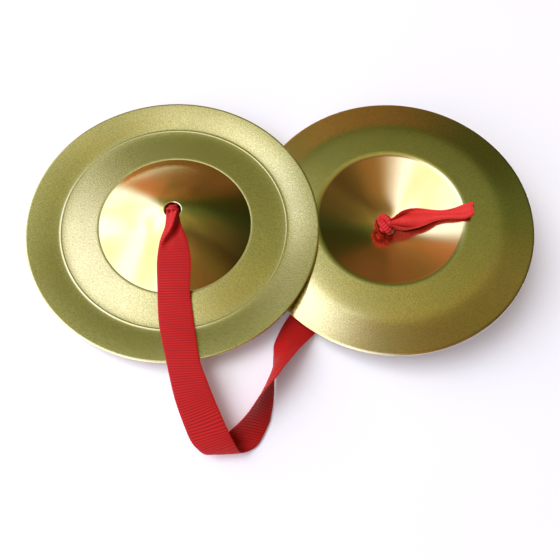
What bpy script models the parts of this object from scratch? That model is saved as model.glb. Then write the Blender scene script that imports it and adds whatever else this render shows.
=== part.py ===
"""A pair of finger cymbals joined by one ribbon, lying as they rest on a table.

Both cymbals are the same turned brass dish: a round bell with a ribbon hole, a flat ring
round it, and a brim that turns up towards the bell side. The left one lies bell up and
leans on the right one, which lies bell down. The ribbon is knotted inside each bell.

Metres, +Z up. The origin is on the table, at the middle of the two cymbals.
"""

import math

import bmesh
import bpy
from mathutils import Matrix, Vector

MM = 0.001

# The turned dish, in its own frame: the rim of the bell side is at height 0
RIM_RADIUS = 45.0 * MM
CREASE_RADIUS = 34.8 * MM
BELL_RADIUS = 23.4 * MM
HOLE_RADIUS = 2.4 * MM
RING_HEIGHT = -1.75 * MM
BELL_TOP_HEIGHT = 7.2 * MM
BELL_ROUND = 12.0 * MM
SHEET = 0.7 * MM
DISH_STEPS = 72
BELL_RINGS = 7

# How the pair lies
LEFT_LEAN = math.radians(4.3)
RIGHT_LEAN = math.radians(11.5)
CENTRE_DISTANCE = 67.9 * MM

# The ribbon
RIBBON_SOLID = 0.8 * MM
TAIL_SOLID = 1.4 * MM
POINTS_PER_SPAN = 4

# The knots, along the bell's axis and measured down from the bell's top
KNOT_STEPS = 24
NECK_RADIUS = 1.75 * MM
KNOT_RADIUS = 3.2 * MM
KNOT_GAP = 0.35 * MM
KNOT_LENGTH = 4.4 * MM
LEFT_NECK = 1.3 * MM
RIGHT_NECK = 1.35 * MM

# Ribbon edges in millimetres, from the left bell's hole to the foremost line of the loop.
# Each row is a point on the edge that starts on the left, then its partner on the other.
STRAND_LEFT = [
    ((-35.8, -2.6, 13.5), (-32.2, -2.6, 13.6)),
    ((-36.1, -6.5, 13.3), (-31.3, -6.3, 13.4)),
    ((-37.6, -10.7, 11.5), (-29.6, -10.3, 12.0)),
    ((-38.4, -15.7, 8.7), (-28.6, -15.6, 9.4)),
    ((-38.2, -23.1, 6.0), (-28.8, -23.3, 6.9)),
    ((-37.9, -29.5, 5.2), (-28.2, -29.3, 6.3)),
    ((-37.2, -35.5, 5.3), (-27.3, -35.7, 6.5)),
    ((-35.4, -43.6, 6.5), (-25.9, -44.8, 7.7)),
    ((-34.1, -49.5, 6.7), (-24.0, -50.4, 7.6)),
    ((-32.5, -55.7, 6.6), (-21.8, -56.1, 7.3)),
    ((-29.9, -62.8, 6.6), (-18.7, -63.4, 7.1)),
    ((-27.8, -67.1, 5.9), (-16.9, -67.0, 6.3)),
    ((-25.9, -69.1, 5.1), (-15.7, -69.1, 5.1)),
    ((-24.9, -69.6, 4.0), (-15.0, -69.6, 4.0)),
]

# The same two edges from the loop, through the half twist, to the right bell's hole
STRAND_RIGHT = [
    ((-24.6, -69.6, 3.0), (-14.6, -69.6, 3.0)),
    ((-23.6, -68.9, 1.6), (-12.4, -69.1, 1.4)),
    ((-21.8, -67.0, 1.4), (-10.0, -67.8, 0.6)),
    ((-18.5, -64.6, 3.6), (-8.3, -65.4, 0.6)),
    ((-15.3, -62.2, 6.0), (-6.8, -62.6, 0.6)),
    ((-12.7, -59.6, 7.6), (-5.9, -60.4, 0.6)),
    ((-9.4, -55.3, 9.0), (-4.8, -55.2, 0.6)),
    ((-5.3, -50.9, 9.8), (-4.3, -49.6, 0.6)),
    ((-2.6, -47.6, 9.4), (-4.3, -45.2, 0.6)),
    ((0.2, -44.4, 8.0), (-4.1, -41.8, 0.6)),
    ((3.3, -41.0, 5.6), (-3.6, -38.3, 0.6)),
    ((8.2, -36.2, 1.4), (-0.4, -32.2, 0.6)),
    ((12.0, -32.2, 0.7), (4.2, -26.2, 0.6)),
    ((18.4, -25.0, 0.6), (11.2, -19.0, 0.6)),
    ((24.8, -17.0, 0.7), (18.6, -11.6, 0.7)),
    ((30.4, -9.4, 0.7), (26.0, -5.2, 0.7)),
    ((35.0, -3.0, 0.7), (32.3, -0.6, 0.65)),
]

# The two free ends, from the knot to the cut tip
TAIL_RIGHT = [
    ((39.4, -1.3, 6.0), (39.4, 2.9, 6.4)),
    ((43.1, -2.7, 7.7), (42.6, 4.0, 8.1)),
    ((46.2, -2.3, 9.8), (46.6, 3.0, 10.1)),
    ((50.0, -1.7, 12.4), (50.2, 1.4, 12.4)),
    ((52.8, -2.3, 14.5), (52.8, 0.8, 14.5)),
    ((56.4, -3.3, 17.1), (55.7, 1.3, 17.0)),
    ((58.7, -2.9, 18.4), (59.4, 1.6, 18.6)),
]
TAIL_LEFT = [
    ((-30.2, -2.0, 4.2), (-30.2, 2.0, 4.2)),
    ((-27.4, -2.2, 2.3), (-27.6, 2.6, 2.3)),
    ((-23.6, -1.4, 1.1), (-24.4, 3.5, 1.2)),
    ((-19.4, 0.6, 0.9), (-20.9, 5.3, 0.9)),
    ((-16.2, 3.4, 0.9), (-18.2, 8.0, 0.9)),
]


def clear_scene():
    for item in list(bpy.data.objects):
        bpy.data.objects.remove(item, do_unlink=True)


def make_material(name, colour, roughness, metallic):
    material = bpy.data.materials.new(name)
    material.use_nodes = True
    shader = material.node_tree.nodes["Principled BSDF"]
    shader.inputs["Base Color"].default_value = (*colour, 1.0)
    shader.inputs["Roughness"].default_value = roughness
    shader.inputs["Metallic"].default_value = metallic
    return material


def add_object(name, bm, material, matrix=None):
    """The finished bmesh as a smooth-shaded object with sharp corners kept."""
    bmesh.ops.recalc_face_normals(bm, faces=bm.faces)
    mesh = bpy.data.meshes.new(name)
    bm.to_mesh(mesh)
    bm.free()
    mesh.materials.append(material)
    mesh.shade_smooth()
    mesh.set_sharp_from_angle(angle=math.radians(35))
    item = bpy.data.objects.new(name, mesh)
    bpy.context.scene.collection.objects.link(item)
    if matrix is not None:
        item.matrix_world = matrix
    return item


# ---------------------------------------------------------------- the dish


def bell_height(r):
    """Height and slope of the bell's outside: a low cone with a well-rounded top."""
    rise = BELL_TOP_HEIGHT - RING_HEIGHT
    steepness = rise / (math.hypot(BELL_RADIUS, BELL_ROUND) - BELL_ROUND)
    height = BELL_TOP_HEIGHT - steepness * (math.hypot(r, BELL_ROUND) - BELL_ROUND)
    return height, steepness * r / math.hypot(r, BELL_ROUND)


def bell_rings(outer):
    """Evenly spaced radii from the hole to the bell's foot."""
    return [HOLE_RADIUS + (outer - HOLE_RADIUS) * i / BELL_RINGS for i in range(BELL_RINGS + 1)]


def dish_outline():
    """The closed section: out along the bell side, back along the hollow side."""
    bell_side = [(r, bell_height(r)[0]) for r in bell_rings(BELL_RADIUS)]
    bell_side += [(CREASE_RADIUS, RING_HEIGHT)]
    bell_side += [(RIM_RADIUS - 0.25 * MM, -0.02 * MM), (RIM_RADIUS, -0.2 * MM)]
    foot_slope = bell_height(BELL_RADIUS)[1]
    foot = BELL_RADIUS - SHEET * (math.hypot(1, foot_slope) - 1) / foot_slope
    hollow_side = []
    for r in bell_rings(foot):
        height, slope = bell_height(r)
        hollow_side.append((r, height - SHEET * math.hypot(1, slope)))
    hollow_side += [(CREASE_RADIUS, RING_HEIGHT - SHEET)]
    hollow_side += [(RIM_RADIUS - 0.25 * MM, -SHEET), (RIM_RADIUS, -SHEET + 0.15 * MM)]
    return bell_side + hollow_side[::-1]


def turn(outline, steps):
    """A closed outline off the axis, turned once round Z into a closed ring."""
    bm = bmesh.new()
    rings = []
    for step in range(steps):
        angle = 2 * math.pi * step / steps
        cosine, sine = math.cos(angle), math.sin(angle)
        rings.append([bm.verts.new((r * cosine, r * sine, z)) for r, z in outline])
    count = len(outline)
    for step in range(steps):
        here, there = rings[step], rings[(step + 1) % steps]
        for i in range(count):
            j = (i + 1) % count
            bm.faces.new((here[i], there[i], there[j], here[j]))
    return bm


def lean_matrix(lean, x, z, bell_down):
    """The dish leaning to the left about Y, and turned over first if its bell is down."""
    over = Matrix.Rotation(math.pi, 4, "X") if bell_down else Matrix.Identity(4)
    return Matrix.Translation((x, 0, z)) @ Matrix.Rotation(-lean, 4, "Y") @ over


def left_matrix():
    """The left dish stands on the lower edge of its ring, where the crease is."""
    shift = RIM_RADIUS * (math.cos(LEFT_LEAN) - math.cos(RIGHT_LEAN)) / 2
    x = -CENTRE_DISTANCE / 2 + shift
    foot = CREASE_RADIUS * math.sin(LEFT_LEAN)
    z = foot + (SHEET - RING_HEIGHT) * math.cos(LEFT_LEAN)
    return lean_matrix(LEFT_LEAN, x, z, False)


def right_matrix():
    """The right dish stands on its rim and, through the ribbon, on its bell."""
    shift = RIM_RADIUS * (math.cos(LEFT_LEAN) - math.cos(RIGHT_LEAN)) / 2
    x = CENTRE_DISTANCE / 2 + shift
    z = RIM_RADIUS * math.sin(RIGHT_LEAN)
    return lean_matrix(RIGHT_LEAN, x, z, True)


def cymbal(name, matrix, material):
    return add_object(name, turn(dish_outline(), DISH_STEPS), material, matrix)


# ---------------------------------------------------------------- the ribbon


def smooth_curve(points):
    """Points along the smooth curve through the given ones, ends included."""
    path = [Vector(p) * MM for p in points]
    ends = [2 * path[0] - path[1], *path, 2 * path[-1] - path[-2]]
    curve = []
    for i in range(len(path) - 1):
        a, b, c, d = ends[i : i + 4]
        for step in range(POINTS_PER_SPAN):
            t = step / POINTS_PER_SPAN
            curve.append(
                b
                + (c - a) * (t / 2)
                + (2 * a - 5 * b + 4 * c - d) * (t * t / 2)
                + (3 * b - a - 3 * c + d) * (t**3 / 2)
            )
    curve.append(path[-1])
    return curve


def strip(name, edges, thickness, material):
    """A flat strip of even thickness between two edges, closed at both ends."""
    left = smooth_curve([pair[0] for pair in edges])
    right = smooth_curve([pair[1] for pair in edges])
    middle = [(a + b) / 2 for a, b in zip(left, right)]
    bm = bmesh.new()
    sections = []
    for i, (a, b) in enumerate(zip(left, right)):
        along = middle[min(i + 1, len(middle) - 1)] - middle[max(i - 1, 0)]
        half = along.cross(b - a).normalized() * (thickness / 2)
        corners = (a + half, b + half, b - half, a - half)
        sections.append([bm.verts.new(p) for p in corners])
    for here, there in zip(sections, sections[1:]):
        for i in range(4):
            j = (i + 1) % 4
            bm.faces.new((here[i], here[j], there[j], there[i]))
    bm.faces.new(sections[0])
    bm.faces.new(sections[-1][::-1])
    return add_object(name, bm, material)


def knot(name, matrix, neck, material):
    """The round knot behind the hole, with the gathered ribbon that passes through."""
    top = BELL_TOP_HEIGHT - SHEET - KNOT_GAP
    bottom = top - KNOT_LENGTH
    outline = [
        (0.45 * KNOT_RADIUS, bottom),
        (0.85 * KNOT_RADIUS, bottom + 0.14 * KNOT_LENGTH),
        (KNOT_RADIUS, bottom + 0.45 * KNOT_LENGTH),
        (0.9 * KNOT_RADIUS, bottom + 0.78 * KNOT_LENGTH),
        (NECK_RADIUS, top),
        (NECK_RADIUS, BELL_TOP_HEIGHT + neck),
    ]
    bm = bmesh.new()
    rings = []
    for radius, height in outline:
        ring = []
        for step in range(KNOT_STEPS):
            angle = 2 * math.pi * step / KNOT_STEPS
            place = (radius * math.cos(angle), radius * math.sin(angle), height)
            ring.append(bm.verts.new(place))
        rings.append(ring)
    for lower, upper in zip(rings, rings[1:]):
        for i in range(KNOT_STEPS):
            j = (i + 1) % KNOT_STEPS
            bm.faces.new((lower[i], lower[j], upper[j], upper[i]))
    bm.faces.new(rings[0][::-1])
    bm.faces.new(rings[-1])
    return add_object(name, bm, material, matrix)


def main():
    clear_scene()
    brass_left = make_material("brass_left", (0.60, 0.47, 0.16), 0.34, 1.0)
    brass_right = make_material("brass_right", (0.64, 0.49, 0.17), 0.32, 1.0)
    red = make_material("red_ribbon", (0.55, 0.008, 0.012), 0.75, 0.0)
    red_knot = make_material("red_ribbon_knot", (0.50, 0.008, 0.012), 0.8, 0.0)
    red_tail = make_material("red_ribbon_tail", (0.58, 0.01, 0.015), 0.75, 0.0)
    cymbal("cymbal_left", left_matrix(), brass_left)
    cymbal("cymbal_right", right_matrix(), brass_right)
    strip("ribbon_left", STRAND_LEFT, RIBBON_SOLID, red)
    strip("ribbon_right", STRAND_RIGHT, RIBBON_SOLID, red)
    knot("knot_left", left_matrix(), LEFT_NECK, red_knot)
    knot("knot_right", right_matrix(), RIGHT_NECK, red_knot)
    strip("tail_left", TAIL_LEFT, TAIL_SOLID, red_tail)
    strip("tail_right", TAIL_RIGHT, TAIL_SOLID, red_tail)


main()
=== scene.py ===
"""The looks of a pair of finger cymbals joined by one red grosgrain ribbon.

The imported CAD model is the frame. Both dishes are turned again with their fine edges, and the
ribbon, its two knots and its two free ends are built as woven cloth along the CAD's own route.
"""

import math

import bpy
import numpy as np
from mathutils import Matrix, Vector, noise


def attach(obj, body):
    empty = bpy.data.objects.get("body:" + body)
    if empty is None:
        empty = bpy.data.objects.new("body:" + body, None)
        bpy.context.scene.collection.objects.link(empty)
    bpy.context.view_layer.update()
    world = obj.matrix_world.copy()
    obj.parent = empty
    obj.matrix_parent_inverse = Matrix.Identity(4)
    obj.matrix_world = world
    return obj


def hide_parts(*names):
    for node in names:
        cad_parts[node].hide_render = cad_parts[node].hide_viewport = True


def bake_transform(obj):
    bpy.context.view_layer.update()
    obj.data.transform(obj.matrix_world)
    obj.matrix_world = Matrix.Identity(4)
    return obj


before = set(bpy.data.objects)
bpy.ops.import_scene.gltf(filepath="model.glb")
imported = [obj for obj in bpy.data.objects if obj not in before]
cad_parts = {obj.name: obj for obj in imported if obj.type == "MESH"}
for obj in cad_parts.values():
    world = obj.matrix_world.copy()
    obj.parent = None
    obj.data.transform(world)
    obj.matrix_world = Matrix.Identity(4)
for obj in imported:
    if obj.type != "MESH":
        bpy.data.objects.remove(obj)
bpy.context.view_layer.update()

MM = 0.001

# ------------------------------------------------------------------ driving dimensions

# The turned dish in its own frame, as in the CAD: the rim of the bell side is at height 0
RIM_RADIUS = 45.0 * MM
CREASE_RADIUS = 34.8 * MM
BELL_RADIUS = 23.4 * MM
HOLE_RADIUS = 2.4 * MM
RING_HEIGHT = -1.75 * MM
BELL_TOP_HEIGHT = 7.2 * MM
BELL_ROUND = 12.0 * MM
CREASE_ROUND = 1.9 * MM
BRIM_BOW = 0.16
SHEET = 0.7 * MM
DISH_STEPS = 288

# How the pair lies
LEFT_LEAN = math.radians(4.3)
RIGHT_LEAN = math.radians(11.5)
CENTRE_DISTANCE = 67.9 * MM

# The ribbon: a woven band with cross ribs, and edges scalloped by them
RIBBON_WIDTH = 10.0 * MM
RIBBON_THICKNESS = 0.42 * MM
RIB_PITCH = 0.78 * MM
RIB_HEIGHT = 0.07 * MM
SCALLOP = 0.05 * MM
YARN_PITCH = 0.22 * MM
SAMPLES_PER_RIB = 4
RIBBON_COLUMNS = 26
SPLIT_ROW = 16

# Where the ribbon's rows slant, curl over and lie folded: row numbers of the table below
SLANT_ROW = 14.0
SLANT_ROWS = 3.6
RIB_SLANT = 0.75
TWIST_ROW = 20.6
TWIST_CURL = 1.5 * MM
FOLD_ROWS = (1.7, 4.1)
FOLD_STEP = 2.1 * MM
FOLD_VALLEY = 0.75 * MM

# Lengthwise pleats where the band is gathered, and the crown where it lies flat
PLEATS = 2.5
PLEAT_DEPTH = 0.62 * MM
FLAT_PLEATS = 0.35
CROWN = 0.132 * MM

# The free ends: the band folded lengthwise through this turn, creased near the knot
TAIL_COLUMNS = 30
TAIL_THICKNESS = 0.34 * MM
TAIL_RIB = 0.22
TAIL_TURN = (math.radians(-70), math.radians(320))
TAIL_HEIGHT = (0.38 * MM, 0.62 * MM)
TAIL_CREASE = (0.42 * MM, 1.10 * MM)
TAIL_GATHER = 0.75 * MM
TAIL_RIPPLE = 0.18 * MM

# The knots, with their middle this far under the bell's top
KNOT_DROP = 2.35 * MM
KNOT_STEPS = 150
KNOT_COLUMNS = 30
KNOT_RING_RADIUS = 1.55 * MM
KNOT_TWIST_RADIUS = 0.85 * MM
KNOT_STRAND_RADIUS = 0.92 * MM
KNOT_SHIFT = (-0.8 * MM, 0.4 * MM)
NECK_STEPS = 24
NECK_RADIUS = 1.45 * MM
NECK_IN = 0.8 * MM
NECK_OUT = 0.2 * MM

# Reds of the cloth: painted light on its ribs and painted shade in its valleys
RIBBON_LIT = (0.64, 0.015, 0.009, 1.0)
RIBBON_SHADE = (0.30, 0.006, 0.006, 1.0)
# The knot's and the tail's reds are brighter copies of the ribbon's: painted light on them
KNOT_LIT = (0.76, 0.036, 0.026, 1.0)
KNOT_SHADE = (0.30, 0.004, 0.006, 1.0)
TAIL_LIT = (0.74, 0.044, 0.028, 1.0)
TAIL_SHADE = (0.36, 0.006, 0.006, 1.0)

# Brass: three tones of its slow drift, then the marks on it; the warm tone in the hollow is a
# painted red reflection of the ribbon
BRASS_TONES = [(0.30, (0.74, 0.65, 0.27)), (0.52, (0.80, 0.73, 0.31)), (0.72, (0.75, 0.72, 0.32))]
BRASS_STAIN = (0.55, 0.53, 0.21, 1.0)
BRASS_HOLLOW_PAINTED_REFLECTION = (0.84, 0.60, 0.28, 1.0)
BRASS_SPECK = (0.48, 0.43, 0.18, 1.0)
BRASS_RUBBED = (0.98, 0.93, 0.68, 1.0)

# The room that the metal mirrors, by direction: its tone across from left (-1) to right (1)
ROOM_ACROSS = [
    (-0.5, (1.05, 0.66, 0.31)),
    (-0.2, (0.60, 0.52, 0.22)),
    (0.0, (0.46, 0.39, 0.155)),
    (0.15, (0.37, 0.30, 0.115)),
    (0.3, (0.30, 0.25, 0.10)),
    (0.45, (0.25, 0.205, 0.08)),
    (0.6, (0.14, 0.11, 0.04)),
    (0.75, (0.055, 0.045, 0.02)),
    (1.0, (0.065, 0.045, 0.02)),
]

# Its tint from front (-1) to back (1): reddish brown, neutral, green shade, then warm
ROOM_DEPTH = [
    (-1.0, (0.75, 0.50, 0.42)),
    (-0.5, (0.75, 0.42, 0.36)),
    (-0.35, (0.90, 0.62, 0.60)),
    (-0.10, (0.42, 0.34, 0.36)),
    (0.04, (0.84, 0.78, 0.78)),
    (0.3, (1.00, 1.02, 1.00)),
    (0.46, (0.60, 0.84, 0.95)),
    (0.56, (0.36, 0.46, 0.40)),
    (0.68, (0.24, 0.31, 0.20)),
    (0.74, (0.34, 0.35, 0.28)),
    (0.82, (0.66, 0.38, 0.36)),
    (0.92, (0.60, 0.34, 0.36)),
    (1.0, (0.66, 0.36, 0.40)),
]
ROOM_BLOTCH = [(0.35, (0.76, 0.84, 0.68)), (0.65, (1.22, 1.10, 1.20))]

# The window: its streaks, where its right edge stands, how far left that edge moves from
# front to back, how sharp it is there, and half of its blur
WINDOW_TONES = [(0.40, (1.50, 1.50, 1.50)), (0.56, (1.95, 2.00, 3.20))]
WINDOW_EDGE = -0.17
WINDOW_EDGE_MOVES = [
    (-0.3, 0.03),
    (-0.1, 0.13),
    (0.02, 0.13),
    (0.12, 0.03),
    (0.30, 0.0),
    (0.38, 0.0),
    (0.48, 0.12),
    (0.58, 0.26),
    (0.66, 0.35),
    (0.80, 0.42),
    (0.92, 0.50),
]
WINDOW_SHARPNESS = [(-0.30, 0.27), (-0.12, 0.60), (0.15, 1.0), (0.45, 1.0), (0.62, 0.60)]
WINDOW_BLUR = 0.07
BACKDROP = (0.90, 0.90, 0.89, 1.0)

# The soft panel overhead: where it stands, its sides, how bright its face looks, its colour
PANEL_DIRECTION = (-0.75, 0.12, 1.0)
PANEL_DISTANCE = 1.6
PANEL_SIZE = (1.1, 1.0)
PANEL_GLOW = 4.1
PANEL_COLOUR = (0.97, 1.0, 0.98)

# The table top, a hair below the object so that the two don't flicker
TABLE_HALF = 3.0
TABLE_DROP = 0.2 * MM
TABLE_TONES = [(0.3, (0.94, 0.935, 0.89)), (0.7, (0.96, 0.955, 0.91))]

# Ribbon edges in millimetres, one row for each pair of facing edge points: the edge that
# starts on the left, then its partner. They run from the left hole to the right hole.
RIBBON_ROWS = [
    ((-35.3, -0.5, 9.8), (-32.7, -0.5, 9.9)),
    ((-35.6, -0.7, 12.0), (-32.4, -0.7, 12.1)),
    ((-35.8, -2.6, 13.5), (-32.2, -2.6, 13.6)),
    ((-36.1, -6.5, 13.3), (-31.3, -6.3, 13.4)),
    ((-37.6, -10.7, 11.5), (-29.6, -10.3, 12.0)),
    ((-38.4, -15.7, 8.7), (-28.6, -15.6, 9.4)),
    ((-38.2, -23.1, 6.0), (-28.8, -23.3, 6.9)),
    ((-37.9, -29.5, 5.2), (-28.2, -29.3, 6.3)),
    ((-37.2, -35.5, 5.3), (-27.3, -35.7, 6.5)),
    ((-35.4, -43.6, 6.5), (-25.9, -44.8, 7.7)),
    ((-34.1, -49.5, 6.7), (-24.0, -50.4, 7.6)),
    ((-32.5, -55.7, 6.6), (-21.8, -56.1, 7.3)),
    ((-29.9, -62.8, 6.6), (-18.7, -63.4, 7.1)),
    ((-27.8, -67.1, 5.9), (-16.9, -67.0, 6.3)),
    ((-24.8, -69.6, 3.5), (-14.9, -69.5, 3.5)),
    ((-23.6, -68.9, 1.6), (-12.4, -69.1, 1.3)),
    ((-21.8, -67.0, 1.4), (-10.0, -67.8, 0.5)),
    ((-18.5, -64.6, 3.6), (-8.3, -65.4, 0.5)),
    ((-15.3, -62.2, 6.0), (-6.8, -62.6, 0.5)),
    ((-12.7, -59.6, 7.6), (-5.9, -60.4, 0.5)),
    ((-9.4, -55.3, 9.0), (-4.8, -55.2, 0.5)),
    ((-5.3, -50.9, 9.8), (-4.3, -49.6, 0.5)),
    ((-2.6, -47.6, 9.4), (-4.3, -45.2, 0.5)),
    ((0.2, -44.4, 8.0), (-4.1, -41.8, 0.5)),
    ((3.3, -41.0, 5.6), (-3.6, -38.3, 0.5)),
    ((8.2, -36.2, 1.4), (-0.4, -32.2, 0.5)),
    ((12.0, -32.2, 0.6), (4.2, -26.2, 0.5)),
    ((18.4, -25.0, 0.6), (11.2, -19.0, 0.6)),
    ((24.8, -17.0, 0.7), (18.6, -11.6, 0.7)),
    ((30.4, -9.4, 0.8), (26.0, -5.2, 0.75)),
    ((34.7, -3.0, 0.85), (32.3, -0.8, 0.75)),
    ((36.7, -0.9, 2.0), (34.4, 0.7, 1.7)),
    ((36.4, -0.7, 4.2), (34.2, 0.5, 3.8)),
]

# The two free ends in millimetres, from the knot to the cut tip, folded along their length
RIGHT_TAIL_ROWS = [
    ((34.8, -0.8, 5.2), (34.8, 1.2, 5.6)),
    ((37.2, -1.1, 5.8), (37.3, 1.8, 6.1)),
    ((40.2, -2.2, 7.0), (39.9, 3.4, 7.4)),
    ((43.6, -2.5, 8.4), (43.2, 4.0, 8.7)),
    ((46.2, -2.1, 10.2), (46.6, 3.1, 10.5)),
    ((48.5, -1.5, 11.4), (48.7, 2.1, 11.7)),
    ((51.0, -1.6, 12.9), (51.2, 1.2, 13.1)),
    ((53.6, -2.5, 15.0), (53.5, 0.9, 15.1)),
    ((56.4, -3.3, 17.0), (55.7, 1.3, 16.9)),
    ((57.7, -3.1, 17.8), (57.4, 1.5, 17.9)),
    ((58.4, -2.7, 18.1), (59.0, 1.7, 18.4)),
]
LEFT_TAIL_ROWS = [
    ((-32.0, -1.4, 5.2), (-32.0, 1.4, 5.2)),
    ((-30.2, -2.0, 4.0), (-30.2, 2.0, 4.0)),
    ((-27.4, -2.2, 2.7), (-27.6, 2.6, 2.7)),
    ((-23.6, -1.4, 1.7), (-24.4, 3.5, 1.7)),
    ((-19.4, 0.6, 1.3), (-20.9, 5.3, 1.3)),
    ((-16.2, 3.4, 1.3), (-18.2, 8.0, 1.3)),
]


# ------------------------------------------------------------------ camera


def make_camera():
    data = bpy.data.cameras.new("camera")
    data.lens = 35.96
    data.sensor_width = 36.0
    data.clip_start = 0.005
    camera = bpy.data.objects.new("camera", data)
    bpy.context.scene.collection.objects.link(camera)
    right = Vector((0.989, -0.051, 0.142)).normalized()
    view = Vector((0.151, 0.376, -0.914)).normalized()
    up = right.cross(view).normalized()
    right = view.cross(up)
    turn_to = Matrix((right, up, -view)).transposed().to_4x4()
    camera.matrix_world = Matrix.Translation((-0.02751, -0.0840, 0.1613)) @ turn_to
    bpy.context.scene.camera = camera


# ------------------------------------------------------------------ meshes


def new_piece(name, vertices, faces, material):
    mesh = bpy.data.meshes.new(name)
    mesh.from_pydata([tuple(v) for v in vertices], [], faces)
    mesh.validate()
    mesh.materials.append(material)
    mesh.shade_smooth()
    piece = bpy.data.objects.new(name, mesh)
    bpy.context.scene.collection.objects.link(piece)
    return piece


def grid_faces(rows, columns, closed_rows=False, closed_columns=False):
    """Quads between neighbouring rows of points, numbered row by row."""
    faces = []
    for i in range(rows if closed_rows else rows - 1):
        here, there = i * columns, ((i + 1) % rows) * columns
        for j in range(columns if closed_columns else columns - 1):
            k = (j + 1) % columns
            faces.append((here + j, there + j, there + k, here + k))
    return faces


def through(points, at):
    """The smooth curve through evenly numbered points, at the given row numbers."""
    points = np.asarray(points, float)
    padded = np.vstack([2 * points[0] - points[1], points, 2 * points[-1] - points[-2]])
    span = np.clip(np.floor(at).astype(int), 0, len(points) - 2)
    t = (at - span)[:, None]
    a, b, c, d = padded[span], padded[span + 1], padded[span + 2], padded[span + 3]
    bend = (2 * a - 5 * b + 4 * c - d) * t**2 + (3 * b - a - 3 * c + d) * t**3
    return b + (c - a) * t / 2 + bend / 2


def even_rows(rows, step):
    """Both edges of a band at even steps along its middle, with the row numbers."""
    left = [pair[0] for pair in rows]
    right = [pair[1] for pair in rows]
    fine = np.linspace(0, len(rows) - 1, 60 * len(rows))
    edge_a, edge_b = through(left, fine), through(right, fine)
    middle = (edge_a + edge_b) / 2 * MM
    along = np.concatenate([[0], np.cumsum(np.linalg.norm(np.diff(middle, axis=0), axis=1))])
    count = max(2, round(along[-1] / step)) + 1
    at = np.interp(np.linspace(0, along[-1], count), along, fine)
    distance = np.linspace(0, along[-1], count)
    return through(left, at) * MM, through(right, at) * MM, at, distance


def unit(vectors):
    return vectors / np.maximum(np.linalg.norm(vectors, axis=-1, keepdims=True), 1e-12)


# ------------------------------------------------------------------ materials


class Nodes:
    """A small helper that adds nodes and wires them in one call each."""

    def __init__(self, owner):
        owner.use_nodes = True
        self.owner = owner
        self.tree = owner.node_tree
        self.shader = self.tree.nodes.get("Principled BSDF")

    def wire(self, value, socket):
        if isinstance(value, bpy.types.NodeSocket):
            self.tree.links.new(value, socket)
        else:
            socket.default_value = value

    def add(self, kind, inputs=None, **settings):
        node = self.tree.nodes.new(kind)
        for key, value in settings.items():
            setattr(node, key, value)
        for key, value in (inputs or {}).items():
            self.wire(value, node.inputs[key])
        return node

    def position(self, stretch=(1, 1, 1)):
        place = self.add("ShaderNodeTexCoord").outputs["Object"]
        mapping = self.add("ShaderNodeMapping", {"Vector": place, "Scale": stretch})
        return mapping.outputs["Vector"]

    def noise(self, vector, scale, detail=3.0, roughness=0.5):
        values = {"Vector": vector, "Scale": scale, "Detail": detail, "Roughness": roughness}
        return self.add("ShaderNodeTexNoise", values).outputs["Fac"]

    def ramp(self, value, stops):
        node = self.add("ShaderNodeValToRGB", {"Fac": value})
        elements = node.color_ramp.elements
        while len(elements) < len(stops):
            elements.new(0.5)
        for element, (place, colour) in zip(elements, stops):
            element.position = place
            element.color = (*colour, 1.0)
        return node.outputs["Color"]

    def math(self, operation, first, second=0.0):
        node = self.add("ShaderNodeMath", operation=operation)
        self.wire(first, node.inputs[0])
        self.wire(second, node.inputs[1])
        return node.outputs["Value"]

    def mix(self, factor, first, second, blend="MIX"):
        node = self.add("ShaderNodeMix", data_type="RGBA", blend_type=blend)
        self.wire(factor, node.inputs["Factor"])
        self.wire(first, node.inputs[6])
        self.wire(second, node.inputs[7])
        return node.outputs[2]

    def scaled(self, value, low, high):
        values = {"Value": value, "To Min": low, "To Max": high}
        return self.add("ShaderNodeMapRange", values).outputs["Result"]

    def attribute(self, name):
        return self.add("ShaderNodeAttribute", attribute_name=name).outputs["Fac"]

    def bump(self, height, strength, distance, normal=None):
        values = {"Height": height, "Strength": strength, "Distance": distance}
        if normal is not None:
            values["Normal"] = normal
        return self.add("ShaderNodeBump", values).outputs["Normal"]


def brass(name, seed):
    """Satin spun brass: slow colour drift, fine grain, polished bell, rubbed edges, a painted red
    reflection in the hollow.
    """
    n = Nodes(bpy.data.materials.new(name))
    place = n.position()
    shift = n.add("ShaderNodeVectorMath", {0: place, 1: (seed, 2 * seed, 0)}, operation="ADD")
    place = shift.outputs["Vector"]
    tone = n.ramp(n.noise(place, 32.0, 3.0), BRASS_TONES)
    stain = n.noise(place, 95.0, 5.0, 0.62)
    tone = n.mix(n.scaled(stain, -0.35, 0.62), tone, BRASS_STAIN)
    # a warmer, redder brass inside the bell: painted reflection of the red ribbon and knot
    tone = n.mix(n.math("MULTIPLY", n.attribute("hollow"), 0.55), tone, BRASS_HOLLOW_PAINTED_REFLECTION)
    grain = n.noise(place, 2000.0, 2.0, 0.7)
    satin = n.attribute("satin")
    speck = n.math("MULTIPLY", n.scaled(grain, -0.75, 1.25), satin)
    tone = n.mix(speck, tone, BRASS_SPECK)
    tone = n.mix(n.math("MULTIPLY", n.attribute("edge"), 0.75), tone, BRASS_RUBBED)
    n.wire(tone, n.shader.inputs["Base Color"])
    n.shader.inputs["Metallic"].default_value = 1.0
    rough = n.scaled(satin, 0.14, 0.18)
    rough = n.math("ADD", rough, n.scaled(stain, -0.03, 0.05))
    n.wire(n.math("ADD", rough, n.scaled(grain, -0.03, 0.03)), n.shader.inputs["Roughness"])
    scratch = n.noise(n.position((60, 900, 400)), 3.0, 2.0, 0.6)
    scratch = n.ramp(scratch, [(0.735, (0, 0, 0)), (0.76, (1, 1, 1))])
    grain_bump = n.bump(n.math("MULTIPLY", grain, satin), 0.28, 0.00004)
    n.wire(n.bump(scratch, 0.10, 0.00005, grain_bump), n.shader.inputs["Normal"])
    return n.owner


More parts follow.
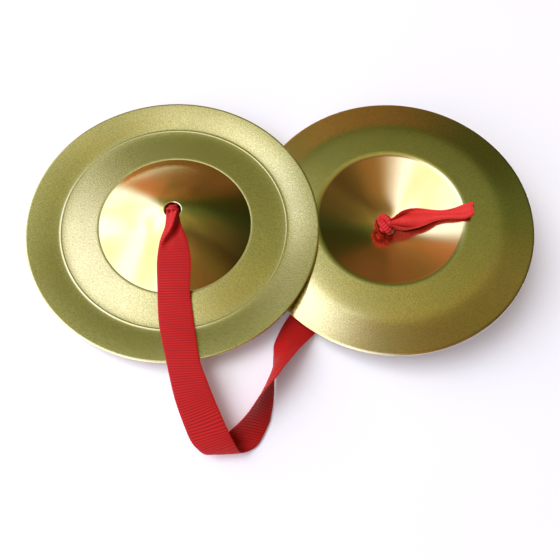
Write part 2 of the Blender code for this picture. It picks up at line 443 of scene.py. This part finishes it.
def ribbon_cloth(name, lit, shade):
    """Grosgrain: painted light on the ribs and painted shade in the valleys, fine yarns across
    them, a soft sheen.
    """
    n = Nodes(bpy.data.materials.new(name))
    place = n.position()
    slow = n.noise(place, 160.0, 3.0)
    # painted shade in the rib valleys and painted light on the rib tops
    tone = n.mix(n.attribute("rib"), shade, lit)
    tone = n.mix(n.scaled(slow, -0.2, 0.45), tone, shade)
    fuzz = n.noise(place, 5200.0, 2.0, 0.7)
    tone = n.mix(n.scaled(fuzz, 0.0, 0.30), tone, shade)
    n.wire(tone, n.shader.inputs["Base Color"])
    n.shader.inputs["Roughness"].default_value = 0.55
    n.shader.inputs["Specular IOR Level"].default_value = 0.22
    n.shader.inputs["Sheen Weight"].default_value = 0.06
    n.shader.inputs["Sheen Roughness"].default_value = 0.45
    n.shader.inputs["Sheen Tint"].default_value = (1.0, 0.42, 0.30, 1.0)
    ridge = n.math("SINE", n.math("MULTIPLY", n.attribute("along"), 2 * math.pi / RIB_PITCH))
    yarn = n.math("SINE", n.math("MULTIPLY", n.attribute("across"), 2 * math.pi / YARN_PITCH))
    height = n.math("ADD", ridge, n.math("MULTIPLY", yarn, 0.35))
    height = n.math("ADD", height, n.math("MULTIPLY", fuzz, 0.6))
    n.wire(n.bump(height, 0.35, 0.00006), n.shader.inputs["Normal"])
    return n.owner


def floor_material():
    """A pale, dull table with a slow change of tone."""
    n = Nodes(bpy.data.materials.new("pale_table"))
    n.wire(n.ramp(n.noise(n.position(), 9.0, 2.0), TABLE_TONES), n.shader.inputs["Base Color"])
    n.shader.inputs["Roughness"].default_value = 0.95
    n.shader.inputs["Specular IOR Level"].default_value = 0.0
    return n.owner


# ------------------------------------------------------------------ the dishes


def bell_height(r):
    """Height and slope of the bell's outside: a low cone with a well-rounded top."""
    rise = BELL_TOP_HEIGHT - RING_HEIGHT
    steepness = rise / (math.hypot(BELL_RADIUS, BELL_ROUND) - BELL_ROUND)
    height = BELL_TOP_HEIGHT - steepness * (math.hypot(r, BELL_ROUND) - BELL_ROUND)
    return height, steepness * r / math.hypot(r, BELL_ROUND)


def hollow_height(r):
    """Height of the bell's inside, one sheet thickness below the outside."""
    height, slope = bell_height(r)
    return height - SHEET * math.hypot(1, slope)


def brim_height(r):
    """Height of the ring and the brim's upper side, with a rounded bend between them."""
    past = r - CREASE_RADIUS
    reach = RIM_RADIUS - CREASE_RADIUS
    bent = (past + math.hypot(past, CREASE_ROUND)) / 2 / reach
    bowed = bent + BRIM_BOW * bent * (1 - bent)
    return RING_HEIGHT - RING_HEIGHT * bowed


def arc(centre, radius, start, end, count):
    """Points (r, z) on a small arc, in degrees from +r towards +z."""
    angles = [math.radians(start + (end - start) * i / count) for i in range(count + 1)]
    return [
        (centre[0] + radius * math.cos(a), centre[1] + radius * math.sin(a)) for a in angles
    ]


def spread(start, end, count):
    """Evenly spaced numbers from start to end, both included."""
    return [start + (end - start) * i / count for i in range(count + 1)]


def dish_section():
    """The closed section with its marks: (radius, height, satin, edge, hollow)."""
    out = []

    def mark(points, satin, edge, hollow=0.0):
        out.extend((r, z, satin, edge, hollow) for r, z in points)

    # the hole's lip and the bell's outside
    mark([(HOLE_RADIUS, BELL_TOP_HEIGHT - 0.42 * MM)], 0.1, 1.0)
    mark([(HOLE_RADIUS + 0.06 * MM, BELL_TOP_HEIGHT - 0.24 * MM)], 0.1, 1.0)
    mark([(HOLE_RADIUS + 0.24 * MM, BELL_TOP_HEIGHT - 0.19 * MM)], 0.1, 0.8)
    for r in spread(HOLE_RADIUS + 0.5 * MM, BELL_RADIUS - 0.10 * MM, 44):
        mark([(r, bell_height(r)[0])], 0.08, 0.0)
    # the crisp line round the bell's foot
    mark([(BELL_RADIUS, RING_HEIGHT - 0.01 * MM)], 0.2, 0.0)
    mark([(BELL_RADIUS + 0.09 * MM, RING_HEIGHT - 0.025 * MM)], 0.5, 0.3)
    mark([(BELL_RADIUS + 0.20 * MM, RING_HEIGHT)], 0.9, 0.1)
    for r in spread(BELL_RADIUS + 0.9 * MM, CREASE_RADIUS - 0.4 * MM, 22):
        mark([(r, brim_height(r))], 1.0, 0.0)
    # the crease, a fine raised line of bright metal that is rubbed clean
    crest = ((-0.2, 0.0, 0.1), (-0.05, 0.02, 0.8), (0.1, 0.02, 0.9), (0.25, 0.0, 0.2))
    for past, lift, rub in crest:
        r = CREASE_RADIUS + past * MM
        mark([(r, brim_height(r) + lift * MM)], 0.7, rub)
    for r in spread(CREASE_RADIUS + 0.5 * MM, RIM_RADIUS - 0.35 * MM, 24):
        mark([(r, brim_height(r) - 0.02 * MM)], 1.0, 0.0)
    mark(arc((RIM_RADIUS - 0.3 * MM, -0.37 * MM), 0.3 * MM, 80, -80, 8), 0.4, 0.85)
    for r in spread(RIM_RADIUS - 0.45 * MM, BELL_RADIUS + 1.2 * MM, 44):
        mark([(r, brim_height(r) - SHEET)], 0.95, 0.0)
    # the rounded edge where the hollow begins
    mark([(BELL_RADIUS + 0.30 * MM, RING_HEIGHT - SHEET + 0.02 * MM)], 0.7, 0.10)
    mark([(BELL_RADIUS - 0.10 * MM, RING_HEIGHT - SHEET + 0.13 * MM)], 0.4, 0.30)
    for r in spread(BELL_RADIUS - 0.60 * MM, HOLE_RADIUS + 0.35 * MM, 44):
        mark([(r, hollow_height(r))], 0.1, 0.0, 1.0)
    mark([(HOLE_RADIUS + 0.08 * MM, BELL_TOP_HEIGHT - SHEET - 0.12 * MM)], 0.1, 0.15, 1.0)
    return out


def lean_matrix(lean, x, z, bell_down):
    """The dish leaning to the left about Y, and turned over first if its bell is down."""
    over = Matrix.Rotation(math.pi, 4, "X") if bell_down else Matrix.Identity(4)
    return Matrix.Translation((x, 0, z)) @ Matrix.Rotation(-lean, 4, "Y") @ over


def left_matrix():
    """The left dish stands on the lower edge of its ring, where the crease is."""
    shift = RIM_RADIUS * (math.cos(LEFT_LEAN) - math.cos(RIGHT_LEAN)) / 2
    z = CREASE_RADIUS * math.sin(LEFT_LEAN) + (SHEET - RING_HEIGHT) * math.cos(LEFT_LEAN)
    return lean_matrix(LEFT_LEAN, -CENTRE_DISTANCE / 2 + shift, z, False)


def right_matrix():
    """The right dish lies bell down, its lowest point of the rim on the table."""
    shift = RIM_RADIUS * (math.cos(LEFT_LEAN) - math.cos(RIGHT_LEAN)) / 2
    z = RIM_RADIUS * math.sin(RIGHT_LEAN)
    return lean_matrix(RIGHT_LEAN, CENTRE_DISTANCE / 2 + shift, z, True)


def sheet_wave(radius, angle, phase):
    """The faint unevenness of pressed sheet metal, in metres."""
    outer = max(0.0, (radius - BELL_RADIUS) / (RIM_RADIUS - BELL_RADIUS))
    inner = math.sin(math.pi * min(1.0, radius / BELL_RADIUS))
    wave = 0.055 * math.sin(2 * angle + phase) + 0.030 * math.sin(5 * angle + 2.1 * phase)
    wave += 0.016 * math.sin(9 * angle + 0.7 * phase)
    dent = 0.020 * math.sin(3 * angle + phase) + 0.012 * math.sin(7 * angle - phase)
    return (wave * outer + dent * inner) * MM


def make_dish(name, matrix, material, phase):
    """One turned dish, with marks for how satin, rubbed or inside the bell each point is."""
    section = dish_section()
    vertices, satin, edge, hollow = [], [], [], []
    for step in range(DISH_STEPS):
        angle = 2 * math.pi * step / DISH_STEPS
        for r, z, soft, rub, inside in section:
            lift = sheet_wave(r, angle, phase)
            vertices.append((r * math.cos(angle), r * math.sin(angle), z + lift))
            satin.append(soft)
            hollow.append(inside)
            patch = noise.noise(Vector((3 * math.cos(angle), 3 * math.sin(angle), phase)))
            edge.append(rub * min(1.0, max(0.15, 0.65 + 1.1 * patch)))
    faces = grid_faces(DISH_STEPS, len(section), True, True)
    piece = new_piece(name, vertices, faces, material)
    for label, values in (("satin", satin), ("edge", edge), ("hollow", hollow)):
        layer = piece.data.attributes.new(label, "FLOAT", "POINT")
        layer.data.foreach_set("value", values)
    piece.data.transform(matrix)
    return piece


# ------------------------------------------------------------------ the ribbon


def cloth_piece(name, middle, normal, along, across, thickness, material, relief):
    """A closed sheet of cloth from a grid of middle points and their normals.

    Relief is how strongly the ribs show, in shape and in the painted light and shade of their
    colour.
    """
    rows, columns = middle.shape[:2]
    rib = 0.5 + 0.5 * np.cos(2 * math.pi * along / RIB_PITCH)
    bulge = (rib - 0.5) * RIB_HEIGHT * relief
    # the rib mark sets the painted light on the ribs and the painted shade in their valleys
    rib = 0.75 + (rib - 0.75) * relief
    half = thickness / 2 + bulge
    half = half * np.where((np.arange(columns) % (columns - 1)) == 0, 0.55, 1.0)[None, :]
    top = middle + normal * half[..., None]
    bottom = middle - normal * half[..., None]
    vertices = np.concatenate([top.reshape(-1, 3), bottom.reshape(-1, 3)])
    count = rows * columns
    upper = grid_faces(rows, columns)
    faces = upper + [tuple(count + k for k in reversed(f)) for f in upper]
    for i in range(rows - 1):
        a, b = i * columns, (i + 1) * columns
        faces.append((a, count + a, count + b, b))
        a, b = a + columns - 1, b + columns - 1
        faces.append((b, count + b, count + a, a))
    for j in range(columns - 1):
        faces.append((j + 1, count + j + 1, count + j, j))
        a = (rows - 1) * columns + j
        faces.append((a, count + a, count + a + 1, a + 1))
    piece = new_piece(name, vertices, faces, material)
    for label, values in (("rib", rib), ("along", along), ("across", across)):
        layer = piece.data.attributes.new(label, "FLOAT", "POINT")
        both = np.concatenate([values.ravel(), values.ravel()]).astype(np.float32)
        layer.data.foreach_set("value", both)
    piece.data.set_sharp_from_angle(angle=math.radians(55))
    return piece


def ribbon_grid():
    """The whole ribbon's middle surface: points, normals, along, across, row numbers."""
    step = RIB_PITCH / SAMPLES_PER_RIB
    edge_a, edge_b, at, distance = even_rows(RIBBON_ROWS, step)
    u = np.linspace(0, 1, RIBBON_COLUMNS)
    width = np.linalg.norm(edge_b - edge_a, axis=1)
    # the ribs run at a slant over the loop, where the band crosses the roll of its own fold
    slant = RIB_SLANT * np.exp(-(((at - SLANT_ROW) / SLANT_ROWS) ** 2))
    rows = np.clip(at[:, None] - slant[:, None] * u[None, :], 0, len(RIBBON_ROWS) - 1)
    left = through([pair[0] for pair in RIBBON_ROWS], rows.ravel())
    right = through([pair[1] for pair in RIBBON_ROWS], rows.ravel())
    left = left.reshape(*rows.shape, 3) * MM
    right = right.reshape(*rows.shape, 3) * MM
    scallop = SCALLOP * np.cos(2 * math.pi * distance / RIB_PITCH)
    scallop = scallop[:, None] * (2 * u - 1)[None, :]
    side = unit(right - left)
    grid = left * (1 - u)[None, :, None] + right * u[None, :, None] + side * scallop[..., None]
    normal = unit(np.cross(np.gradient(grid, axis=0), side))
    # where the band is gathered, its full width lies in lengthwise pleats
    spare = np.clip(RIBBON_WIDTH / np.maximum(width, 1e-6) - 1, 0, 1.6)
    depth = np.minimum(width / (math.pi * PLEATS) * np.sqrt(spare), PLEAT_DEPTH)
    depth = depth * np.clip((spare - 0.05) / 0.3, 0, 1)
    # the pleats close up beyond the left lip, and lie pressed flat under the right bell
    depth = depth * np.where(at < SLANT_ROW, np.clip((2.4 - at) / 1.2, 0.10, 1), FLAT_PLEATS)
    drift = 0.35 * np.sin(distance / (4.1 * MM))
    pleat = np.sin(2 * math.pi * PLEATS * u[None, :] + drift[:, None] + 0.5)
    grid = grid + normal * (pleat * depth[:, None])[..., None]
    # a soft crown across the band where it lies flat
    crown = CROWN * (1 - (2 * u - 1) ** 2)[None, :] * np.clip(1 - spare, 0, 1)[:, None]
    grid = grid + normal * crown[..., None]
    # the half twist: the rising edge curls over, so the band is cupped there
    curl = TWIST_CURL * np.exp(-(((at - TWIST_ROW) / 1.9) ** 2))
    grid = grid + normal * (np.sin(math.pi * u) ** 1.2)[None, :, None] * curl[:, None, None]
    # outside the left hole one half of the gathered band lies folded over the other
    fold_at = (at - FOLD_ROWS[0]) / (FOLD_ROWS[1] - FOLD_ROWS[0])
    ridge = 1.0 - np.clip(fold_at, 0, 1)
    beyond = np.clip((u[None, :] - ridge[:, None]) / 0.20, 0, 1)
    shown = np.clip(fold_at / 0.15, 0, 1) * np.clip((1.15 - fold_at) / 0.5, 0, 1)
    step_down = 1 - beyond * beyond * (3 - 2 * beyond)
    valley = np.exp(-(((u[None, :] - ridge[:, None] - 0.30) / 0.17) ** 2)) * FOLD_VALLEY
    rise = np.clip(u[None, :] / np.maximum(ridge[:, None], 0.15), 0, 1)
    fold = (rise * step_down * FOLD_STEP - valley) * shown[:, None]
    grid = grid + normal * fold[..., None]
    middle = grid[:, RIBBON_COLUMNS // 2]
    normal = unit(np.cross(np.gradient(grid, axis=0), np.gradient(grid, axis=1)))
    along = np.repeat(distance[:, None], RIBBON_COLUMNS, axis=1)
    across = np.repeat((u * RIBBON_WIDTH)[None, :], len(distance), axis=0)
    return grid, normal, along, across, at, middle


def make_ribbon(material):
    """Both strands of the one ribbon, parted at the front of its loop."""
    grid, normal, along, across, at, middle = ribbon_grid()
    split = int(np.searchsorted(at, SPLIT_ROW))
    first, second = slice(0, split + 1), slice(split, len(at))
    # the ribs are drawn tight and hardly show where the band comes out of the left hole
    relief = 0.25 + 0.75 * np.clip((at - 3.4) / 2.6, 0, 1)[:, None]
    pieces = []
    for name, part in (("ribbon_strand_left", first), ("ribbon_strand_right", second)):
        cloth = (grid[part], normal[part], along[part], across[part])
        piece = cloth_piece(name, *cloth, RIBBON_THICKNESS, material, relief[part])
        pieces.append((piece, middle[part]))
    return pieces


def make_tail(name, rows, material, seed):
    """A free end: the band folded lengthwise into a flat, open gutter, cut ragged."""
    step = RIB_PITCH / SAMPLES_PER_RIB
    edge_a, edge_b, at, distance = even_rows(rows, step)
    u = np.linspace(0, 1, TAIL_COLUMNS)
    side = unit(edge_b - edge_a)
    width = np.linalg.norm(edge_b - edge_a, axis=1)
    middle = (edge_a + edge_b) / 2
    ahead = unit(np.gradient(middle, axis=0))
    up = unit(np.cross(ahead, side))
    turn = TAIL_TURN[0] + TAIL_TURN[1] * u
    flat = np.sign(np.sin(turn)) * np.abs(np.sin(turn)) ** 0.7
    height = np.clip(TAIL_HEIGHT[1] - 0.02 * width, *TAIL_HEIGHT)
    t = distance / distance[-1]
    crease = TAIL_CREASE[0] + TAIL_CREASE[1] * np.exp(-((t - 0.17) ** 2) / 0.03)
    wrinkle = np.sin(2 * math.pi * 3.5 * u[None, :] + 4 * t[:, None] + seed) * crease[:, None]
    gather = np.clip(1 - t / 0.42, 0, 1)[:, None] * TAIL_GATHER
    wrinkle = wrinkle + np.sin(2 * math.pi * 5.5 * u[None, :] + seed) * gather
    sideways = flat[None, :] * (width / 2)[:, None]
    upward = np.cos(turn)[None, :] * height[:, None] + wrinkle
    ripple = TAIL_RIPPLE * np.sin(5.5 * t * math.pi + seed)
    grid = middle[:, None, :] + side[:, None, :] * sideways[..., None]
    grid = grid + up[:, None, :] * (upward + ripple[:, None])[..., None]
    # the cut tip is uneven: some yarns reach further than others
    reach = np.clip((t - 0.93) / 0.07, 0, 1)[:, None]
    ragged = 0.22 * MM * np.sin(9.0 * u + seed) + 0.20 * MM * np.sin(47.0 * u + 2 * seed)
    grid = grid + ahead[:, None, :] * (reach * ragged[None, :])[..., None]
    normal = unit(np.cross(np.gradient(grid, axis=0), np.gradient(grid, axis=1)))
    along = np.repeat(distance[:, None], TAIL_COLUMNS, axis=1)
    across = np.repeat((u * RIBBON_WIDTH)[None, :], len(distance), axis=0)
    return cloth_piece(name, grid, normal, along, across, TAIL_THICKNESS, material, TAIL_RIB)


def swept(name, path, radius_at, material, first_up):
    """Gathered cloth swept along a path, its folds running lengthwise."""
    path = np.asarray(path, float)
    rows, section = len(path), KNOT_COLUMNS
    ahead = unit(np.gradient(path, axis=0))
    up = np.zeros_like(path)
    turned = np.asarray(first_up, float)
    for i in range(rows):
        turned = turned - ahead[i] * np.dot(turned, ahead[i])
        turned = turned / np.linalg.norm(turned)
        up[i] = turned
    side = np.cross(ahead, up)
    distance = np.concatenate([[0], np.cumsum(np.linalg.norm(np.diff(path, axis=0), axis=1))])
    angle = np.linspace(0, 2 * math.pi, section, endpoint=False)
    radius = np.asarray(radius_at)[:, None]
    folds = 1 + 0.13 * np.sin(6 * angle[None, :] + 0.3 * distance[:, None] / MM)
    folds = folds + 0.06 * np.sin(11 * angle[None, :] + 2.0)
    ribs = 1 + 0.035 * np.cos(2 * math.pi * distance / RIB_PITCH)[:, None]
    reach = radius * folds * ribs
    offset = (
        side[:, None, :] * (np.cos(angle)[None, :] * reach * 1.18)[..., None]
        + up[:, None, :] * (np.sin(angle)[None, :] * reach * 0.86)[..., None]
    )
    vertices = (path[:, None, :] + offset).reshape(-1, 3)
    faces = grid_faces(rows, section, closed_columns=True)
    faces.append(tuple(range(section)))
    faces.append(tuple(reversed(range((rows - 1) * section, rows * section))))
    piece = new_piece(name, vertices, faces, material)
    along = np.repeat(distance[:, None], section, axis=1).ravel()
    across = np.repeat(np.linspace(0, RIBBON_WIDTH, section)[None, :], rows, axis=0).ravel()
    # the rib mark sets the painted light and shade of the knot's ribs
    rib = 0.5 + 0.5 * np.cos(2 * math.pi * along / RIB_PITCH)
    for label, values in (("rib", rib), ("along", along), ("across", across)):
        layer = piece.data.attributes.new(label, "FLOAT", "POINT")
        layer.data.foreach_set("value", values.astype(np.float32))
    return piece


def make_knot(name, matrix, material, flip):
    """An overhand knot under the bell's top, with its neck up through the hole."""
    t = np.linspace(0.10 * math.pi, 3.90 * math.pi, KNOT_STEPS)
    ring = KNOT_RING_RADIUS + KNOT_TWIST_RADIUS * np.cos(1.5 * t)
    height = KNOT_TWIST_RADIUS * np.sin(1.5 * t)
    centre = BELL_TOP_HEIGHT - SHEET - KNOT_DROP
    path = np.stack([ring * np.cos(t), flip * ring * np.sin(t), centre + 1.2 * height], axis=1)
    swell = KNOT_STRAND_RADIUS * (1 + 0.07 * np.sin(3 * t))
    # the windings stand upright, round the line along which the free end leaves
    path = np.stack([path[:, 2] - centre, path[:, 1] * 1.10, centre + path[:, 0] * 0.78], axis=1)
    path[:, 0] += 0.25 * path[:, 1] + KNOT_SHIFT[0]
    path[:, 1] += KNOT_SHIFT[1] * flip
    knot = swept(name, path, swell, material, (0.3, 1, 0))
    heights = spread(centre - NECK_IN, BELL_TOP_HEIGHT + NECK_OUT, NECK_STEPS)
    neck_path = [(0, 0, z) for z in heights]
    neck_radius = [NECK_RADIUS * (0.92 + 0.10 * math.cos(i / 4)) for i in range(len(heights))]
    neck = swept(name + "_neck", neck_path, neck_radius, material, (0, 1, 0))
    for piece in (knot, neck):
        piece.data.transform(matrix)
    return knot, neck


# ------------------------------------------------------------------ stage and light


def make_stage():
    """The table top under the pair."""
    half = TABLE_HALF
    corners = [(-half, -half, 0), (half, -half, 0), (half, half, 0), (-half, half, 0)]
    floor = new_piece("table", corners, [(0, 1, 2, 3)], floor_material())
    floor.location.z = -TABLE_DROP


def make_room():
    """What the metal mirrors: a wide bright window on the left, and a dim warm room."""
    world = bpy.data.worlds.new("room")
    bpy.context.scene.world = world
    n = Nodes(world)
    direction = n.add("ShaderNodeTexCoord").outputs["Generated"]
    parts = n.add("ShaderNodeSeparateXYZ", {"Vector": direction})
    across, depth = parts.outputs["X"], parts.outputs["Y"]

    def by_direction(value, stops):
        """A ramp over -1 to 1; a stop's tone may also be one number."""
        half = n.math("MULTIPLY", value, 0.5)
        full = [(at, tone if isinstance(tone, tuple) else (tone,) * 3) for at, tone in stops]
        return n.ramp(n.math("ADD", half, 0.5), [((at + 1) / 2, tone) for at, tone in full])

    room = by_direction(across, ROOM_ACROSS)
    room = n.mix(1.0, room, by_direction(depth, ROOM_DEPTH), "MULTIPLY")
    tint = n.ramp(n.noise(direction, 3.2, 2.0), ROOM_BLOTCH)
    room = n.mix(1.0, room, tint, "MULTIPLY")
    stretched = n.add("ShaderNodeMapping", {"Vector": direction, "Scale": (7, 1.3, 1.3)})
    window = n.ramp(n.noise(stretched.outputs["Vector"], 1.0), WINDOW_TONES)
    past = n.math("ADD", across, -WINDOW_EDGE)
    past = n.math("ADD", past, by_direction(depth, WINDOW_EDGE_MOVES))
    past = n.math("MULTIPLY", past, by_direction(depth, WINDOW_SHARPNESS))
    opening = n.add(
        "ShaderNodeMapRange",
        {"Value": past, "From Min": WINDOW_BLUR, "From Max": -WINDOW_BLUR},
        interpolation_type="SMOOTHSTEP",
    )
    mirrored = n.mix(opening.outputs["Result"], room, window)
    # seen directly, the room is a plain pale backdrop
    seen = n.add("ShaderNodeLightPath").outputs["Is Camera Ray"]
    background = n.tree.nodes["Background"]
    n.wire(n.mix(seen, mirrored, BACKDROP), background.inputs["Color"])


def make_lights():
    """The mirrored room, and one soft panel overhead that the metal doesn't mirror."""
    bpy.context.scene.view_settings.view_transform = "Standard"
    make_room()
    data = bpy.data.lights.new("ceiling", "AREA")
    data.shape = "RECTANGLE"
    data.size, data.size_y = PANEL_SIZE
    data.energy = PANEL_GLOW * math.pi * data.size * data.size_y
    data.color = PANEL_COLOUR
    panel = bpy.data.objects.new("ceiling", data)
    bpy.context.scene.collection.objects.link(panel)
    away = Vector(PANEL_DIRECTION).normalized()
    panel.location = away * PANEL_DISTANCE
    panel.rotation_euler = away.to_track_quat("Z", "Y").to_euler()
    panel.visible_glossy = False
    panel.visible_camera = False


# ------------------------------------------------------------------ assembly


def main():
    make_camera()
    cloth = ribbon_cloth("red_grosgrain", RIBBON_LIT, RIBBON_SHADE)
    (strand_left, middle_left), (strand_right, middle_right) = make_ribbon(cloth)
    # the knots' cloth is a brighter copy of the ribbon's red: painted light
    cloth = ribbon_cloth("red_grosgrain_knot", KNOT_LIT, KNOT_SHADE)
    knot_left, neck_left = make_knot("ribbon_knot_left", left_matrix(), cloth, 1)
    knot_right, neck_right = make_knot("ribbon_knot_right", right_matrix(), cloth, -1)
    # the tails' cloth is a brighter copy of the ribbon's red: painted light
    cloth = ribbon_cloth("red_grosgrain_tail", TAIL_LIT, TAIL_SHADE)
    tail_left = make_tail("ribbon_tail_left", LEFT_TAIL_ROWS, cloth, 0.6)
    tail_right = make_tail("ribbon_tail_right", RIGHT_TAIL_ROWS, cloth, 2.2)

    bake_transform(strand_left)
    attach(strand_right, "ribbon_right_half")
    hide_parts("ribbon_left")
    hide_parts("ribbon_right")
    for piece in (knot_left, neck_left, tail_left):
        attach(piece, "left_knot")
    for piece in (knot_right, neck_right, tail_right):
        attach(piece, "ribbon_right_half")
    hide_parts("knot_left")
    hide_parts("knot_right")
    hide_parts("tail_left")
    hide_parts("tail_right")

    dish_left = make_dish("dish_left", left_matrix(), brass("satin_brass_left", 0.3), 0.8)
    dish_right = make_dish("dish_right", right_matrix(), brass("satin_brass_right", 1.7), 2.6)
    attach(dish_left, "left_cymbal")
    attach(dish_right, "right_cymbal")
    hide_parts("cymbal_left")
    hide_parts("cymbal_right")

    make_stage()
    make_lights()


main()
